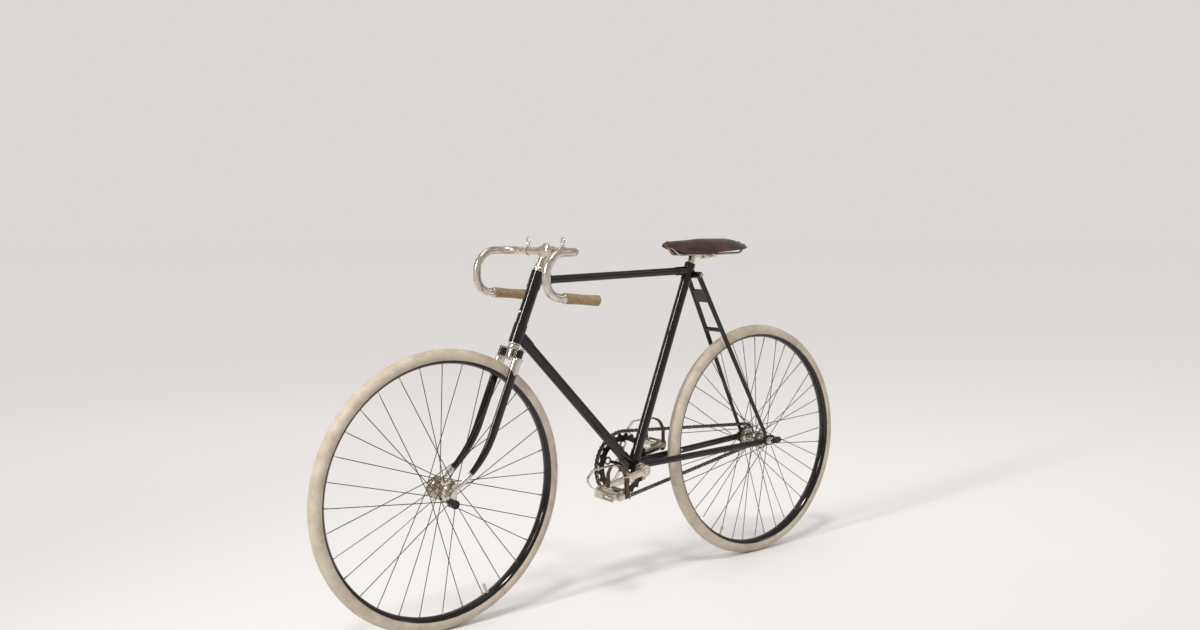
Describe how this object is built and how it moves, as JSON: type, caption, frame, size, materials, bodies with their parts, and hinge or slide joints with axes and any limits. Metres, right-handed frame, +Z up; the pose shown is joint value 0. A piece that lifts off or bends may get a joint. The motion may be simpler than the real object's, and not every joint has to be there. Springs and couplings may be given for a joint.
{
  "type": "safety bicycle",
  "caption": "Vintage diamond-frame safety bicycle with equal wire wheels, fixed block-chain drive, dropped handlebar, leather saddle and toe-clip rat-trap pedals.",
  "frame": {"origin": "middle of the saddle's top, where the rider's weight comes on", "axes": "+X forward, +Y to the rider's left, +Z up"},
  "size_m": [1.8312, 0.3732, 0.9945],
  "materials": {
    "black_enamel": "gloss stoved enamel",
    "nickel_plate": "aged nickel plate",
    "bright_steel": "oiled bare steel",
    "rim_finish": "black enamel",
    "tyre_rubber": "worn rubber",
    "saddle_leather": "waxed leather",
    "grip": "matt"
  },
  "bodies": {
    "frame": {"bracket_cups": "nickel_plate", "bracket_shell": "black_enamel", "chain": "bright_steel", "chain_adjusters": "nickel_plate", "down_tube": "black_enamel", "head_cups": "nickel_plate", "head_tube": "black_enamel", "left_chain_stay": "black_enamel", "left_seat_stay": "black_enamel", "lower_head_lug": "black_enamel", "lower_stay_bridge": "black_enamel", "mounting_step": "nickel_plate", "rear_axle": "bright_steel", "rear_fork_ends": "black_enamel", "right_chain_stay": "black_enamel", "right_seat_stay": "black_enamel", "saddle_clip": "nickel_plate", "saddle_leather": "saddle_leather", "saddle_plates": "bright_steel", "saddle_springs": "bright_steel", "seat_bolt": "nickel_plate", "seat_lug": "black_enamel", "seat_pin": "nickel_plate", "seat_tube": "black_enamel", "top_tube": "black_enamel", "upper_head_lug": "black_enamel", "upper_stay_bridge": "black_enamel"},
    "steering": {"steering_column": "bright_steel", "left_fork_blade": "black_enamel", "right_fork_blade": "black_enamel", "fork_tips": "nickel_plate", "fork_crown": "nickel_plate", "front_axle": "bright_steel", "distance_counter": "nickel_plate", "handlebar": "nickel_plate", "stem": "nickel_plate", "lock_collar": "nickel_plate", "grips": "grip", "bell": "nickel_plate", "bar_loops": "nickel_plate"},
    "front_wheel": {"front_tyre": "tyre_rubber", "front_rim": "rim_finish", "front_spokes": "bright_steel", "front_hub": "nickel_plate"},
    "rear_wheel": {"rear_tyre": "tyre_rubber", "rear_rim": "rim_finish", "rear_spokes": "bright_steel", "rear_hub": "nickel_plate", "sprocket": "bright_steel"},
    "crankset": {"crank_axle": "nickel_plate", "left_crank": "nickel_plate", "right_crank": "nickel_plate", "chainwheel": "nickel_plate", "pedal_spindles": "nickel_plate"},
    "left_pedal": {"left_pedal": "nickel_plate", "left_toe_clip": "bright_steel"},
    "right_pedal": {"right_pedal": "nickel_plate", "right_toe_clip": "bright_steel"}
  },
  "joints": [
    {"name": "steering_turn", "type": "hinge", "parent": "frame", "child": "steering", "pos_m": [0.80843, 0, -0.6294], "axis": [-0.3746, 0, 0.9272], "range_deg": [-60, 60]},
    {"name": "front_wheel_spin", "type": "hinge", "parent": "steering", "child": "front_wheel", "pos_m": [0.885, 0, -0.6294], "axis": [0, 1, 0], "continuous": true},
    {"name": "rear_wheel_spin", "type": "hinge", "parent": "frame", "child": "rear_wheel", "pos_m": [-0.235, 0, -0.6294], "axis": [0, 1, 0], "continuous": true},
    {"name": "crank_spin", "type": "hinge", "parent": "frame", "child": "crankset", "pos_m": [0.26227, 0, -0.6564], "axis": [0, 1, 0], "continuous": true},
    {"name": "left_pedal_spin", "type": "hinge", "parent": "crankset", "child": "left_pedal", "pos_m": [0.42424, 0, -0.68788], "axis": [0, 1, 0], "continuous": true},
    {"name": "right_pedal_spin", "type": "hinge", "parent": "crankset", "child": "right_pedal", "pos_m": [0.1003, 0, -0.62492], "axis": [0, 1, 0], "continuous": true}
  ],
  "couplings": [
    {"joint": "crank_spin", "follows": "rear_wheel_spin", "ratio": 0.375}
  ]
}
